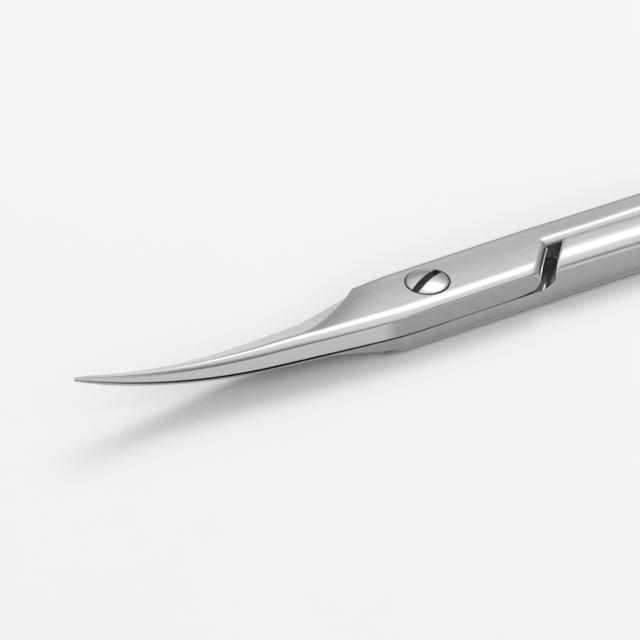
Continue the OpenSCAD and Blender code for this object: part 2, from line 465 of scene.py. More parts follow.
@dataclass
class Half:
    """One half of the pair: blade, lap, shank and finger ring of one forging.

    A section runs across the half from the spine (-) to the cutting edge (+), and heights count from the seam to
    the half's outer face, so both halves share every line of this class. Lengths are in millimetres and angles in
    degrees. A run is where something starts and where it ends.
    """

    sizes: Sizes
    side: Side
    # What the halves don't share, as the upper one has it: the shoulder along the cutting side, the edge along the
    # notch, the distance from the pivot where the outer face leaves the lap's plane, and how strongly shade is
    # painted on the walls.
    far_shoulder: Run = (0.6, 0.35)
    round_r: float = 0.6
    leave: float = 10.0
    wall_shade: float = 1.0
    # Outline and thickness of the blade.
    taper_power: float = 1.1
    thin_power: float = 1.5
    edge_power: float = 1.4
    back_share: float = 0.71
    tip_back_share: float = 0.69
    back_full: float = 10.0
    # Buffed face, its roll-off and the grinding facet.
    crown_r: float = 27.0
    grind_front: float = 11.6
    grind_side: float = 5.0
    grind_power: float = 1.25
    roll_slope: float = 0.34
    roll_reach: float = 3.4
    roll_least: float = 0.2
    roll_turn: float = 0.81
    crease_angle: float = 8.0
    blade_crease_angle: float = 25.0
    crease_run: Run = (-4.5, -1.0)
    shoulder_fade: float = 1.2
    land_share: float = 0.7
    land_lean: float = 0.25
    runout_power: float = 1.3
    # Painted shade line along the crease below the band, and the ground look of the blade in front of the lap.
    crease_shade_w: float = 0.05
    crease_shade_most: float = 0.15
    crease_shade_start: float = -22.0
    crease_shade_end: Run = (-5.5, -3.0)
    ground_run: Run = (0.8, 1.8)
    # Slanted end of the lap and the notch behind it.
    slant_in: Run = (2.4, 9.0)
    slant_out: Run = (14.0, 28.0)
    nose_r: float = 0.4
    nose_lift: float = 0.26
    nose_reach: float = 2.4
    fillet_r: float = 1.1
    fillet_share: float = 0.9
    foot_r: float = 0.35
    # Shank and the way it flows into the ring.
    shank_lap: float = 0.2
    bar_in: float = 0.05
    edge_flat: float = 0.06
    shank_taper: float = 1.4
    under_band: Run = (1.4, 0.9)
    crease_fade: Run = (13.0, 30.0)
    fine_end: float = 20.0
    blend_start: float = 28.0
    blend_reach: float = 1.1
    dive: float = 0.22
    dive_len: float = 6.0
    weld_reach: float = 0.8
    weld_rounds: int = 14
    weld_crease: float = 50.0
    ring_steps: tuple[int, int] = (260, 32)
    cutter_over: float = 1.0

    @property
    def name(self) -> str:
        """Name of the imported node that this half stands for."""
        return f"{self.side.name.lower()}_half"

    @property
    def own_t(self) -> float:
        """Thickness of this half's lap."""
        z = self.sizes
        return z.lap_t - z.seam_z if self.side is Side.UPPER else z.seam_z

    def seam(self, r: float) -> float:
        """Height of the seam at a radius around the pivot axis."""
        z, past = self.sizes, max(0.0, r - self.sizes.curve_start)
        return z.seam_z + z.blade_rise * max(0.0, r - z.lap_front) + past**2 / (2 * z.curve_r)

    def half_gap(self, r: float) -> float:
        """Half of the gap between the blades at a radius around the pivot axis."""
        z = self.sizes
        return (z.seam_gap + z.blade_bow * math.sin(math.pi * clamp(r / z.blade_len))) / 2

    def half_w(self, x: float) -> float:
        """Half width of the closed blades and lap at x."""
        z = self.sizes
        return mix(z.lap_half_w, z.tip_half_w, share(-x, z.lap_front, z.blade_len) ** self.taper_power)

    def band_w(self, x: float) -> float:
        """Width of the rounded band along the spine at x."""
        z = self.sizes
        return z.shoulder_w * (self.half_w(x) / z.lap_half_w) ** self.edge_power

    def outer_h(self, x: float) -> float:
        """Height of the outer face over the seam at x."""
        z = self.sizes
        start = self.own_t - (self.seam(min(self.leave, max(0.0, -x))) - z.seam_z)
        return mix(start, z.tip_t, share(-x, self.leave, z.blade_len) ** self.thin_power)

    def back_h(self, x: float) -> float:
        """Height of the spine's crisp upper edge over the seam at x."""
        z, h = self.sizes, self.outer_h(x)
        blade = mix(self.back_share, self.tip_back_share, share(-x, self.back_full, z.blade_len))
        return mix(h - z.shoulder_h, blade * h, share(-x, z.lap_front, self.back_full))

    def ridge_y(self, x: float) -> float:
        """Place across of the ridge between the band and the face at x."""
        return self.band_w(x) - self.half_w(x)

    def crease_y(self, x: float) -> float:
        """Place across of the grinding crease at x, which runs on past the side behind the facet."""
        w, ridge = self.half_w(x), self.ridge_y(x)
        run = max(0.0, (x + self.grind_front) / (self.grind_front - self.grind_side)) ** self.grind_power
        return ridge + max((w - ridge) * run, self.roll_least * w / self.sizes.lap_half_w)

    def crown(self, y: float) -> float:
        """Drop of the buffed face towards its sides, at a place across."""
        z = self.sizes
        return min(abs(y), z.lap_half_w - z.shoulder_w) ** 2 / (2 * self.crown_r)

    def roll(self, depth: float) -> float:
        """Drop of the face where it rolls off towards the grinding crease, at a distance before it."""
        return self.roll_slope * self.roll_reach / 3 * (1 - clamp(depth * self.roll_turn / self.roll_reach)) ** 3

    def face_h(self, x: float, y: float) -> float:
        """Height of the buffed face over the seam."""
        crease = self.crease_y(x)
        return self.outer_h(x) - self.crown(y) - self.roll(crease - y) + self.roll(crease - self.ridge_y(x))

    def side_h(self, x: float) -> float:
        """Finds the upper edge of the far side.

        Args:
            x: Place along the half.

        Returns:
            The edge's height over the seam.
        """
        z, root_x = self.sizes, max(x, -self.grind_side)
        root = self.face_h(root_x, self.half_w(root_x)) - self.shoulder(root_x)
        if x > -self.grind_side:
            return root
        run = share(x, -z.edge_start, -self.grind_side) ** self.runout_power
        return max(min(z.edge_land, self.land_share * self.outer_h(x)), root * run)

    def shoulder(self, x: float) -> float:
        """Drop of the far side's rounded shoulder at x, below the roll that the face has there."""
        crease, fade = self.crease_y(x), share(x, -self.grind_side - self.shoulder_fade, -self.grind_side)
        own = self.roll(crease - self.half_w(x)) - self.roll(crease - self.ridge_y(x))
        return max(0.0, self.far_shoulder[1] - own) * ease(fade)

    def slant(self, s: float) -> float:
        """How much of the notch's slant a section at s has taken up."""
        return ease(share(s, *self.slant_in)) * (1 - ease(share(s, *self.slant_out)))

    def at(self, s: float, y: float, h: float) -> Vector:
        """Places a point of the outer surface.

        Args:
            s: Station along the half, in millimetres from the pivot at the middle.
            y: Distance across, positive towards the cutting edge.
            h: Height over the seam.

        Returns:
            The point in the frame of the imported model.
        """
        x = s - self.sizes.lean * abs(y) * self.slant(s)
        return Vector((x, self.side.value * y, self.seam(max(0.0, -x)) + self.side.value * h))

    def at_seam(self, s: float, y: float, lift: float) -> Vector:
        """Places a point of the inner face.

        Args:
            s: Station along the half.
            y: Distance across, positive towards the cutting edge.
            lift: Height of the point over the face, which keeps its gap from the seam.

        Returns:
            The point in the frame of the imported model.
        """
        x = s - self.sizes.lean * abs(y) * self.slant(s)
        r = math.hypot(x, y) if x < 0 else 0.0
        return Vector((x, self.side.value * y, self.seam(r) + self.side.value * (self.half_gap(r) + lift)))

    def notch_distance(self, s: float, y: float, inner: float) -> float:
        """Gives a point's distance from the notch and from the inner wall behind it.

        Args:
            s: Station of the point.
            y: Distance of the point across.
            inner: Distance of the inner wall across, at this station.

        Returns:
            The distance in plan, 0 on the wall.
        """
        z = self.sizes
        slant = math.radians(z.notch_slant)
        dx = s - z.lean * abs(y) * self.slant(s) - (z.notch_x - z.lean * z.inner)
        dy = y - inner
        if dx * -math.sin(slant) + dy * -math.cos(slant) > 0:
            return max(0.0, -(dx * math.cos(slant) - dy * math.sin(slant)))
        return math.hypot(dx, dy) if dx < 0 else max(0.0, dy)

    def nose(self, distance: float) -> float:
        """Lift of the lap's inner face near its slanted end."""
        soft = self.nose_lift * max(0.0, 1 - distance / self.nose_reach) ** 2
        return soft + rounding(distance, self.nose_r)

    def front_section(self, s: float) -> Section:
        """Works out the section of the blade or the lap.

        Args:
            s: Station of the section.

        Returns:
            The section's points, each with the zone that starts there.
        """
        z = self.sizes
        w, back, side_h = self.half_w(s), self.back_h(s), self.side_h(s)
        band, ridge, drop = self.band_w(s), self.ridge_y(s), self.shoulder(s)
        foot = min(w, self.crease_y(s))
        top_end = foot - (foot - ridge) * self.far_shoulder[0] * band / z.shoulder_w / (w - ridge)
        middle = share(z.inner, z.shoulder_w - z.lap_half_w, z.lap_half_w - z.shoulder_w)
        split = mix(ridge, top_end, middle)
        near_angle = mix(self.blade_crease_angle, self.crease_angle, share(s, *self.crease_run))
        lean = self.land_lean * side_h * (1 - ease(share(s, -self.grind_side, -z.lap_front)))
        # Width share of the band's first step, the thin strip that takes the painted crease shade.
        line = min(self.crease_shade_most, self.crease_shade_w / band)

        def top(y: float, height: float) -> Vector:
            """Places a point of the outer face."""
            return self.at(s, y, height - rounding(self.notch_distance(s, y, z.inner), self.round_r))

        def under(y: float) -> Vector:
            """Places a point of the inner face."""
            return self.at_seam(s, y, self.nose(self.notch_distance(s, y, z.inner)))

        loop: Section = []
        low, high = under(-w), top(-w, back)
        loop += [(Zone.BACK, low.lerp(high, i / Zone.BACK.steps)) for i in range(Zone.BACK.steps)]
        for i in range(Zone.BAND.steps):
            across, up = partial_arc(mix(line, 1, (i - 1) / (Zone.BAND.steps - 1)) if i else 0.0, near_angle)
            loop.append((Zone.BAND, top(mix(-w, ridge, across), mix(back, self.face_h(s, ridge), up))))
        near = spread(split, ridge, self.round_r, Zone.TOP_NEAR.steps)[::-1]
        loop += [(Zone.TOP_NEAR, top(y, self.face_h(s, y))) for y in near[:-1]]
        far = spread(split, top_end, self.round_r, Zone.TOP_FAR.steps)
        loop += [(Zone.TOP_FAR, top(y, self.face_h(s, y))) for y in far[:-1]]
        for i in range(Zone.ROLL.steps):
            across, up = partial_arc(1 - i / Zone.ROLL.steps, self.crease_angle)
            y = mix(foot, top_end, across)
            loop.append((Zone.ROLL, top(y, self.face_h(s, y) - drop * (1 - up))))
        start, end = top(foot, self.face_h(s, foot) - drop), top(w - lean, side_h)
        loop += [(Zone.FACET, start.lerp(end, i / Zone.FACET.steps)) for i in range(Zone.FACET.steps)]
        low = under(w)
        loop += [(Zone.EDGE, end.lerp(low, i / Zone.EDGE.steps)) for i in range(Zone.EDGE.steps)]
        far = spread(split, w, self.round_r, Zone.SEAM_FAR.steps)[::-1]
        loop += [(Zone.SEAM_FAR, under(y)) for y in far[:-1]]
        near = spread(split, -w, self.round_r, Zone.SEAM_NEAR.steps)
        loop += [(Zone.SEAM_NEAR, under(y)) for y in near]
        return loop

    def rear_shape(self, s: float) -> dict[str, float]:
        """Works out the measures of the shank's section.

        Args:
            s: Station of the section.

        Returns:
            The places of its walls, the heights of its faces over the seam and its roundings, by name.
        """
        z = self.sizes
        t = share(s, z.notch_x + z.notch_len + self.shank_lap, z.ring_x)
        soft = ease(t)
        bar = z.ring_r - self.bar_in
        middle = z.ring_gap / 2 + z.ring_r
        plain = mix(z.lap_half_w, z.inner + z.shank_end_w, clamp(t * self.shank_taper))
        low, high = self.bar_in * t, mix(z.lap_t, z.ring_bar_d - self.bar_in, t)
        upper, lower = high - z.seam_z, z.seam_z - low
        h, depth = (upper, lower) if self.side is Side.UPPER else (lower, upper)
        shape = {
            "inner": mix(z.inner, middle - bar, soft),
            "outer": mix(plain, middle + bar, soft),
            "h": h,
            "depth": depth,
            "crease": mix(self.crease_angle, 0.0, ease(share(s, *self.crease_fade))),
            "crown": 1 - soft,
        }
        bands = (*self.far_shoulder, *self.under_band, self.round_r)
        for name, size in zip(("band_w", "band_h", "under_w", "under_h", "round"), bands):
            shape[name] = mix(size, bar - self.edge_flat, soft)
        return shape

    def rear_section(self, s: float, down: float) -> Section:
        """Works out the section of the shank.

        Args:
            s: Station of the section.
            down: Share of the way that the section reaches from the seam to the other half's outer face.

        Returns:
            The section's points, each with the zone that starts there.
        """
        q = self.rear_shape(s)
        inner, outer, h = q["inner"], q["outer"], q["h"]
        gap = self.half_gap(0.0)
        floor = gap - down * (q["depth"] + gap)
        band_w, band_h = q["under_w"] * down, q["under_h"] * down

        def top(y: float, height: float) -> Vector:
            """Places a point of the outer face."""
            drop = rounding(self.notch_distance(s, y, inner), q["round"]) + q["crown"] * self.crown(y)
            return self.at(s, y, height - drop)

        def under(y: float, height: float) -> Vector:
            """Places a point of the face that starts as the notch's floor and ends as the underside."""
            d = self.notch_distance(s, y, inner)
            lift = rounding(d, q["round"]) + q["crown"] * self.crown(y)
            return self.at(s, y, height + mix(self.nose(d), lift, down))

        loop: Section = []
        far = spread(inner, outer - q["band_w"], q["round"], Zone.TOP_FAR.steps)
        loop += [(Zone.TOP_FAR, top(y, h)) for y in far[:-1]]
        for i in range(Zone.ROLL.steps):
            across, up = partial_arc(1 - i / Zone.ROLL.steps, q["crease"])
            loop.append((Zone.ROLL, top(outer - q["band_w"] * across, mix(h - q["band_h"], h, up))))
        high, low = top(outer, h - q["band_h"]), under(outer, floor + band_h)
        loop += [(Zone.FACET, high.copy()) for _ in range(Zone.FACET.steps)]
        loop += [(Zone.EDGE, high.lerp(low, i / Zone.EDGE.steps)) for i in range(Zone.EDGE.steps)]
        for i in range(Zone.UNDER_BAND.steps):
            across, up = partial_arc(i / Zone.UNDER_BAND.steps, 0.0)
            loop.append((Zone.UNDER_BAND, under(outer - band_w * across, floor + band_h * (1 - up))))
        far = spread(inner, outer - band_w, mix(self.round_r, q["round"], down), Zone.SEAM_FAR.steps)[::-1]
        loop += [(Zone.SEAM_FAR, under(y, floor)) for y in far[:-1]]
        low, high = under(inner, floor), top(inner, h)
        loop += [(Zone.INNER, low.lerp(high, i / Zone.INNER.steps)) for i in range(Zone.INNER.steps + 1)]
        return loop

    def front_stations(self) -> list[float]:
        """Lists the stations from the tip to the slanted end of the lap.

        Returns:
            The stations in order.
        """
        z = self.sizes
        # Start, end and number of steps of each run.
        runs = [
            (-z.blade_len, -12.5, 60), (-12.5, -2.8, 84), (-2.8, 2.4, 10), (2.4, 8.6, 16), (8.6, z.notch_x, 20)
        ]
        return [mix(a, b, i / n) for a, b, n in runs for i in range(n)] + [z.notch_x]

    def rear_stations(self) -> list[Run]:
        """Lists the stations from the end of the lap down the notch's wall and on to the ring.

        Returns:
            Each station with how far down the section reaches there.
        """
        z, fillet, foot = self.sizes, self.fillet_r, self.foot_r
        wall = z.notch_x + z.notch_len
        depth = self.rear_shape(wall)["depth"]
        top = 1 - foot / depth
        stations = [(mix(z.notch_x, wall - fillet, i / 6), 0.0) for i in range(6)]
        for i in range(13):
            a = QUARTER * i / 12
            down = fillet * (1 - math.cos(a)) / depth * self.fillet_share
            stations.append((wall - fillet * (1 - math.sin(a)), down))
        stations += [(wall, mix(stations[-1][1], top, i / 2)) for i in (1, 2)]
        for i in range(1, 7):
            a = QUARTER * i / 6
            stations.append((wall + foot * (1 - math.cos(a)), top + (1 - top) * math.sin(a)))
        stations += [(mix(wall + foot, self.fine_end, i / 20), 1.0) for i in range(1, 21)]
        return stations + [(mix(self.fine_end, z.ring_x, i / 80), 1.0) for i in range(1, 81)]

    def shank_distance(self, p: Vector) -> float:
        """Estimates how far a point lies outside the rear of the shank.

        Args:
            p: The point.

        Returns:
            The distance, negative inside.
        """
        z = self.sizes
        q = self.rear_shape(p.x)
        low, high = sorted((z.seam_z + self.side.value * q["h"], z.seam_z - self.side.value * q["depth"]))
        half_y, half_z = (q["outer"] - q["inner"]) / 2, (high - low) / 2
        r = min(half_y, half_z) - 0.02
        dy = abs(self.side.value * p.y - (q["outer"] + q["inner"]) / 2) - half_y + r
        dz = abs(p.z - (low + high) / 2) - half_z + r
        past = max(0.0, p.x - z.ring_x)
        return math.hypot(max(0.0, dy), max(0.0, dz)) + min(0.0, max(dy, dz)) - r + past

    def oval(self) -> Oval:
        """The centre line of this half's ring."""
        z = self.sizes
        return Oval(z.ring_hole_len / 2 + z.ring_r, z.ring_hole_w / 2 + z.ring_r, z.ring_end_r)

    def ring_distance(self, p: Vector) -> float:
        """Gives how far a point lies outside the ring's round bar."""
        z = self.sizes
        flat = self.oval().distance(p.x - z.ring_x, self.side.value * p.y - z.ring_y)
        return math.hypot(flat, p.z - z.ring_r) - z.ring_r

    def swell(self, p: Vector, out: Vector, other: Callable[[Vector], float]) -> Vector:
        """Moves a surface point outwards so that two round bars flow into each other.

        Args:
            p: The point on its own bar.
            out: Its outward direction.
            other: Distance from the other bar's surface.

        Returns:
            The point on the soft union of both bars.
        """
        reach, step = self.blend_reach, 0.0
        for _ in range(6):
            apart = other(p + out * step) - step
            if apart < 0:
                return p
            step = reach / 4 * clamp(1 - apart / reach) ** 2
        return p + out * step

    def add_front(self, bm: BMesh) -> None:
        """Adds the blade and the lap.

        Args:
            bm: The mesh that they are added to.
        """
        z, stations = self.sizes, self.front_stations()
        zones = [zone for zone, _ in self.front_section(0.0)]
        rows = [[p for _, p in self.front_section(s)] for s in stations]

        def front(x: float) -> float:
            """Says how far x lies in front of the lap, 1 on the ground blade."""
            return share(x, *(-z.lap_front - step for step in self.ground_run))

        def crease_shade(s: float) -> float:
            """Strength of the painted crease shade at s."""
            return (1 - ease(share(s, *self.crease_shade_end))) * share(s, -z.blade_len, self.crease_shade_start)

        marks = {
            "ground": lambda i, j: GROUND.get(zones[j], 0.0) * front(rows[i][j].x),
            # Painted shade on the walls of the lap.
            "side": lambda i, j: (zones[j] in (Zone.BACK, Zone.EDGE)) * (1 - front(rows[i][j].x)) * self.wall_shade,
            # Painted shade along the crease below the band.
            "line": lambda i, j: (zones[j - 1] is Zone.BACK and zones[j] is Zone.BAND) * crease_shade(stations[i]),
        }
        lay_sheet(bm, rows, marks)

    def add_shank(self, bm: BMesh) -> None:
        """Adds the shank from the notch to the ring.

        Args:
            bm: The mesh that it is added to.
        """
        z, rows = self.sizes, []
        for s, down in self.rear_stations():
            section = [p for _, p in self.rear_section(s, down)]
            if s > self.blend_start:
                centre = sum(section[:-1], Vector()) / (len(section) - 1)
                thin = 1 - self.dive * ease(share(s, z.ring_x - self.dive_len, z.ring_x))
                section = [self.swell(p, (p - centre).normalized(), self.ring_distance) for p in section]
                section = [Vector((p.x, mix(centre.y, p.y, thin), mix(centre.z, p.z, thin))) for p in section]
            rows.append([Vector((p.x, p.y, max(0.0, min(z.lap_t, p.z)))) for p in section])
        zones = [zone for zone, _ in self.rear_section(z.ring_x, 1.0)]
        # The "side" mark paints shade on the shank's outer wall.
        lay_sheet(bm, rows, {"side": lambda i, j: (zones[j] is Zone.EDGE) * self.wall_shade})

    def add_ring(self, bm: BMesh) -> None:
        """Adds the finger ring.

        Args:
            bm: The mesh that it is added to.
        """
        z, oval, rows = self.sizes, self.oval(), []
        along, around = self.ring_steps
        for i in range(along + 1):
            x, y, heading = oval.point(i / along % 1.0)
            row = []
            for j in range(around + 1):
                a = 2 * math.pi * j / around
                out = Vector((math.cos(heading) * math.cos(a), math.sin(heading) * math.cos(a), math.sin(a)))
                out.y *= self.side.value
                p = Vector((x + z.ring_x, self.side.value * (y + z.ring_y), z.ring_r)) + out * z.ring_r
                p = self.swell(p, out, self.shank_distance)
                row.append(Vector((p.x, p.y, max(0.0, p.z))))
            rows.append(row)
        lay_sheet(bm, rows, {})

    def soften(self, piece: Object) -> None:
        """Smooths the weld between the shank and the ring.

        Args:
            piece: The welded half.
        """
        bm = bmesh.new()
        bm.from_mesh(piece.data)
        near = []
        for v in bm.verts:
            p = v.co / MM
            apart = max(abs(self.shank_distance(p)), abs(self.ring_distance(p)))
            if p.x > self.blend_start and apart < self.weld_reach:
                near.append(v)
        for _ in range(self.weld_rounds):
            bmesh.ops.smooth_vert(bm, verts=near, factor=0.5, use_axis_x=True, use_axis_y=True, use_axis_z=True)
        bm.to_mesh(piece.data)
        bm.free()
        shade(piece, self.weld_crease)

    def build(self) -> Object:
        """Builds the half and cuts its bores.

        Returns:
            The finished half.
        """
        z = self.sizes
        body, ring = bmesh.new(), bmesh.new()
        self.add_front(body)
        self.add_shank(body)
        self.add_ring(ring)
        piece = finish_mesh(body, f"{self.name}_steel")
        combine(piece, finish_mesh(ring, "ring"), Combine.WELD)
        self.soften(piece)
        over = z.lap_t + self.cutter_over
        bore = round_cutter("bore", z.screw_d / 2 + z.bore_gap, -self.cutter_over, over)
        combine(piece, bore, Combine.CUT)
        if self.side is Side.UPPER:
            seat = z.rim_z - z.head_rim_h - z.seat_gap
            counterbore = round_cutter("counterbore", z.head_d / 2 + z.head_gap, seat, over)
            combine(piece, counterbore, Combine.CUT)
        weight_normals(piece)
        return piece


@dataclass
class PivotScrew:
    """The slotted screw with its domed, polished head."""

    sizes: Sizes
    rim_edge: float = 0.07
    slot_edge: float = 0.035
    seat_chamfer: float = 0.04
    foot_z: float = 0.12
    foot_chamfer: float = 0.05
    thread_lift: float = 0.03
    thread_below: float = 0.15
    thread_runout: float = 0.12
    crest_drop: float = 0.02
    crest_run: Run = (0.44, 0.56)
    crease: float = 35.0
    worn_angle: float = 50.0
    dome_steps: int = 14
    turn_steps: int = 96

    def profile(self) -> list[Run]:
        """Works out the half section.

        Returns:
            Radius and height of each point, from the lower end to the top of the dome.
        """
        z = self.sizes
        r, head, rim = z.screw_d / 2, z.head_d / 2, z.rim_z
        root, crest = r - z.thread_depth, r - self.crest_drop
        seat = rim - z.head_rim_h
        low, thread_top = self.foot_z, z.seam_z - self.thread_below
        turns = int((thread_top - low) / z.thread_pitch)
        line = [(0.0, low), (root - self.foot_chamfer, low)]
        for i in range(turns):
            base = low + self.thread_lift + i * z.thread_pitch
            line += [(root, base)] + [(crest, base + z.thread_pitch * part) for part in self.crest_run]
        line += [(root, low + self.thread_lift + turns * z.thread_pitch), (r, thread_top + self.thread_runout)]
        line += [(r, seat), (head - self.seat_chamfer, seat), (head, seat + self.seat_chamfer)]
        line.append((head, rim - self.rim_edge))
        for i in range(1, 4):
            a = QUARTER * i / 4
            line.append((head - self.rim_edge * (1 - math.cos(a)), rim - self.rim_edge * (1 - math.sin(a))))
        crown = z.head_dome_h
        dome_r = (head**2 + crown**2) / (2 * crown)
        centre = rim + crown - dome_r
        tilt = math.asin((head - self.rim_edge) / dome_r)
        for i in range(self.dome_steps + 1):
            a = tilt * (1 - i / self.dome_steps)
            line.append((dome_r * math.sin(a), centre + dome_r * math.cos(a)))
        return line

    def slot_cutter(self) -> Object:
        """Makes the bar that cuts the screwdriver slot.

        Returns:
            The cutter, centred on the top of the dome.
        """
        z = self.sizes
        turn = Matrix.Rotation(math.radians(z.slot_angle), 3, "Z")
        bm = bmesh.new()
        made = bmesh.ops.create_cube(bm, size=1.0)["verts"]
        bmesh.ops.scale(bm, vec=(2 * z.head_d, z.slot_w, 2 * z.slot_depth), verts=made)
        bmesh.ops.translate(bm, vec=(0, 0, z.rim_z + z.head_dome_h), verts=made)
        bmesh.ops.rotate(bm, cent=(0, 0, 0), matrix=turn, verts=made)
        return finish_mesh(bm, "slot_cutter")

    def build(self) -> Object:
        """Turns the screw and cuts its slot.

        Returns:
            The finished screw.
        """
        bm = bmesh.new()
        points = [bm.verts.new((r, 0.0, h)) for r, h in self.profile()]
        edges = [bm.edges.new(pair) for pair in zip(points, points[1:])]
        bmesh.ops.spin(
            bm, geom=points + edges, cent=(0, 0, 0), axis=(0, 0, 1), angle=2 * math.pi, steps=self.turn_steps,
            use_merge=True,
        )
        piece = finish_mesh(bm, "pivot_screw_steel", self.crease)
        combine(piece, self.slot_cutter(), Combine.CUT, self.crease)
        bevel = piece.modifiers.new("worn_edges", "BEVEL")
        bevel.width, bevel.segments, bevel.limit_method = self.slot_edge * MM, 3, "ANGLE"
        bevel.angle_limit = math.radians(self.worn_angle)
        weight_normals(piece)
        return piece


class Signal:
    """A shader socket that arithmetic can be written with: each operation adds its Math node."""

    def __init__(self, graph: "Graph", socket: NodeSocket) -> None:
        """Wraps a socket of a graph."""
        self.graph = graph
        self.socket = socket

    def maths(self, operation: str, *values: "Signal | float") -> "Signal":
        """Adds one Math node over values, in their order."""
        return self.graph.signal("ShaderNodeMath", {"operation": operation}, dict(enumerate(values)))

    def __add__(self, other: "Signal | float") -> "Signal":
        """Adds."""
        return self.maths("ADD", self, other)

    def __sub__(self, other: "Signal | float") -> "Signal":
        """Subtracts."""
        return self.maths("SUBTRACT", self, other)

    def __rsub__(self, other: float) -> "Signal":
        """Subtracts from a number."""
        return self.maths("SUBTRACT", other, self)

    def __mul__(self, other: "Signal | float") -> "Signal":
        """Multiplies."""
        return self.maths("MULTIPLY", self, other)

    def __truediv__(self, other: "Signal | float") -> "Signal":
        """Divides."""
        return self.maths("DIVIDE", self, other)

    def root(self) -> "Signal":
        """Takes the square root."""
        return self.maths("SQRT", self)

    def wave(self) -> "Signal":
        """Takes the sine of an angle in radians, moved to 0..1."""
        return self.maths("SINE", self) * 0.5 + 0.5

    def ramp(self, low: float, high: float) -> "Signal":
        """Goes softly from 0 at low to 1 at high."""
        inputs = {0: self, 1: low, 2: high, 3: 0.0, 4: 1.0}
        return self.graph.signal("ShaderNodeMapRange", {"interpolation_type": "SMOOTHSTEP"}, inputs)


Settings = dict[str, object] | None
Inputs = dict[str | int, object] | None


class Graph:
    """The nodes of one material or of the world."""

    def __init__(self, tree: NodeTree) -> None:
        """Empties a node tree to fill it."""
        self.tree = tree
        tree.nodes.clear()

    def node(self, kind: str, settings: Settings = None, inputs: Inputs = None) -> Node:
        """Adds a node.

        Args:
            kind: Type of the node.
            settings: Its own properties, set before its sockets.
            inputs: A number, a vector, a signal or a socket for each named or numbered input.

        Returns:
            The new node.
        """
        made = self.tree.nodes.new(kind)
        for name, setting in (settings or {}).items():
            setattr(made, name, setting)
        for key, given in (inputs or {}).items():
            if isinstance(given, Signal):
                given = given.socket
            if isinstance(given, NodeSocket):
                self.tree.links.new(given, made.inputs[key])
            else:
                made.inputs[key].default_value = given
        return made

    def signal(self, kind: str, settings: Settings = None, inputs: Inputs = None, out: str | int = 0) -> Signal:
        """Adds a node and gives one of its outputs to reckon with."""
        return Signal(self, self.node(kind, settings, inputs).outputs[out])

    def stretched(self, scale: Point, detail: float = 2.0, roughness: float = 0.5) -> Signal:
        """Gives noise of the object's own coordinates, drawn out along its axes.

        Args:
            scale: Waves in each metre along X, Y and Z.
            detail: Number of finer layers.
            roughness: Strength of the finer layers.

        Returns:
            Noise around 0.5.
        """
        place = self.node("ShaderNodeTexCoord").outputs["Object"]
        moved = self.signal("ShaderNodeMapping", None, {"Vector": place, "Scale": scale})
        inputs = {"Vector": moved, "Scale": 1.0, "Detail": detail, "Roughness": roughness}
        return self.signal("ShaderNodeTexNoise", None, inputs)

    def axes(self, source: str = "Object", unit: float = MM) -> list[Signal]:
        """Gives X, Y and Z of a source of coordinates, in a unit of length."""
        place = self.node("ShaderNodeTexCoord").outputs[source]
        return [Signal(self, part) / unit for part in self.node("ShaderNodeSeparateXYZ", None, {0: place}).outputs]

    def radius(self) -> Signal:
        """Gives the distance from the pivot axis in millimetres."""
        x, y, _ = self.axes()
        return (x * x + y * y).root()

    def mark(self, name: str) -> Signal:
        """Reads a mark that the faces carry."""
        return self.signal("ShaderNodeAttribute", {"attribute_name": name}, out="Fac")

    def bump(self, height: Signal, depth: float) -> Signal:
        """Bends the normal over heights of 0..1 that stand for a depth in micrometres."""
        return self.signal("ShaderNodeBump", None, {"Strength": 1.0, "Distance": depth * MICRON, "Height": height})

    def blend(self, mask: Signal, low: Signal | Color, high: Signal | Color) -> Signal:
        """Mixes two colours by a mask."""
        return self.signal("ShaderNodeMix", {"data_type": "RGBA"}, {0: mask, 6: low, 7: high}, 2)


@dataclass(frozen=True)
class Finish:
    """A finish that is built as a node material."""

    name: str = "finish"

    def surface(self, g: Graph) -> Inputs:
        """Gives the inputs of the shader, which each finish works out in its own way."""
        return {}

    def material(self) -> Material:
        """Builds the finish.

        Returns:
            The new material.
        """
        made = bpy.data.materials.new(self.name)
        made.use_nodes = True
        g = Graph(made.node_tree)
        shader = g.node("ShaderNodeBsdfPrincipled", None, self.surface(g))
        g.node("ShaderNodeOutputMaterial", None, {"Surface": shader.outputs[0]})
        return made


